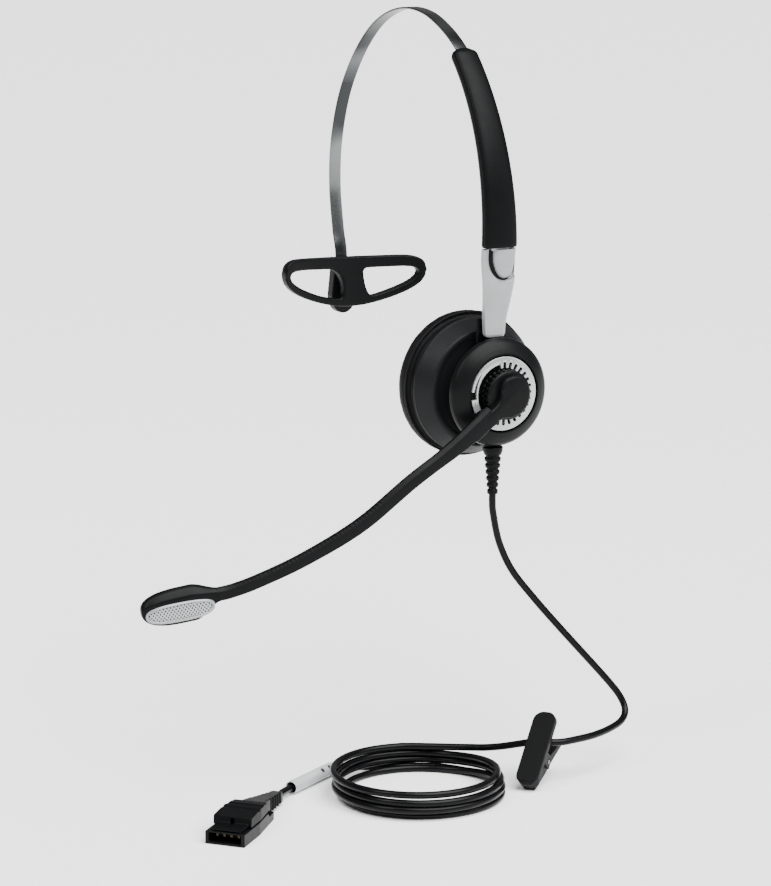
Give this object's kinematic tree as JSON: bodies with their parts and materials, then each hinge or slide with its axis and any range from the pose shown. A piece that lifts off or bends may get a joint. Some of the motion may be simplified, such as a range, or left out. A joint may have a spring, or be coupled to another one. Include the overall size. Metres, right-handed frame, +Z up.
{
  "type": "monaural headset",
  "caption": "Wired monaural headset: padded ear cup, sliding steel headband with temple pad, swivelling boom microphone, clothing clip and quick-disconnect plug.",
  "frame": {"origin": "middle of the ear cushion's face, where it rests on the wearer's ear", "axes": "+X out of the ear along the cup's axis, -Y towards the wearer's face (the boom's side), +Z up the headband"},
  "size_m": [0.1637, 0.1841, 0.2728],
  "materials": {
    "leatherette": "soft-touch black leatherette",
    "black_plastic": "fine-textured black plastic",
    "grey_plastic": "fine-textured dark grey plastic",
    "rubber": "satin black rubber",
    "satin_silver": "satin silver",
    "steel": "polished spring steel",
    "brass": "plain brass",
    "board": "green lacquered circuit board",
    "label": "satin pale silver sleeve"
  },
  "bodies": {
    "hub": {"ball_neck": "black_plastic", "yoke_ring": "black_plastic", "back_cover": "black_plastic", "circuit_board": "board", "front_housing": "black_plastic", "toothed_ring": "satin_silver", "detent_washer": "steel", "boom_pivot_pin": "steel", "silver_arm": "satin_silver", "sleeve_outer": "black_plastic", "sleeve_inner": "black_plastic", "friction_spring": "steel", "strain_relief": "rubber", "cord_upper": "rubber", "cord_coil": "rubber", "cord_lower": "rubber", "cord_label": "label", "clip_outer_lever": "black_plastic", "clip_pin": "steel", "clip_spring": "steel", "plug_lower_shell": "black_plastic", "plug_upper_shell": "black_plastic", "plug_contact_block": "grey_plastic", "plug_contact_1": "brass", "plug_contact_2": "brass", "plug_contact_3": "brass", "plug_contact_4": "brass", "plug_boot": "rubber"},
    "gimbal": {"socket_ring": "grey_plastic"},
    "capsule": {"ear_cushion": "leatherette", "cushion_ring": "black_plastic", "speaker_grille": "black_plastic", "driver_diaphragm": "grey_plastic", "driver_basket": "black_plastic", "driver_magnet": "steel", "speaker_housing": "grey_plastic"},
    "boom": {"boom_arm_inner": "black_plastic"},
    "boom_middle": {"boom_arm_middle": "rubber"},
    "boom_tip": {"boom_arm_outer": "rubber", "mic_housing": "black_plastic", "mic_capsule": "steel", "mic_grille": "satin_silver"},
    "band": {"steel_band": "steel", "band_stop": "steel", "pad_holder": "black_plastic"},
    "pad": {"temple_pad": "rubber"},
    "clip_jaw": {"clip_inner_lever": "black_plastic"}
  },
  "joints": [
    {"name": "gimbal_tilt", "type": "hinge", "parent": "hub", "child": "gimbal", "pos_m": [0.02, 0, 0], "axis": [0, 1, 0], "range_deg": [-7, 7]},
    {"name": "capsule_swivel", "type": "hinge", "parent": "gimbal", "child": "capsule", "pos_m": [0.02, 0, 0], "axis": [0, 0, 1], "range_deg": [-7, 7]},
    {"name": "boom_swivel", "type": "hinge", "parent": "hub", "child": "boom", "pos_m": [0.036, 0, 0], "axis": [1, 0, 0], "range_deg": [-230, 20]},
    {"name": "boom_flex_inner", "type": "hinge", "parent": "boom", "child": "boom_middle", "pos_m": [0.03551, -0.05318, -0.03668], "axis": [0, 0.6005, -0.7996], "range_deg": [-12, 12]},
    {"name": "boom_flex_outer", "type": "hinge", "parent": "boom_middle", "child": "boom_tip", "pos_m": [0.02838, -0.08024, -0.05275], "axis": [0, 0.4317, -0.902], "range_deg": [-12, 12]},
    {"name": "band_slide", "type": "hinge", "parent": "hub", "child": "band", "pos_m": [-0.0625, 0, 0.0548], "axis": [0, -1, 0], "range_deg": [0, 16]},
    {"name": "pad_tilt", "type": "hinge", "parent": "band", "child": "pad", "pos_m": [-0.0817, 0, 0.025], "axis": [0, 1, 0], "range_deg": [-7, 7]},
    {"name": "clip_open", "type": "hinge", "parent": "hub", "child": "clip_jaw", "pos_m": [0.05035, 0.00551, -0.13172], "axis": [0.8338, 0.551, 0.0354], "range_deg": [0, 12], "stiffness_Nm_per_rad": 0.02, "springref_deg": -20.05}
  ]
}
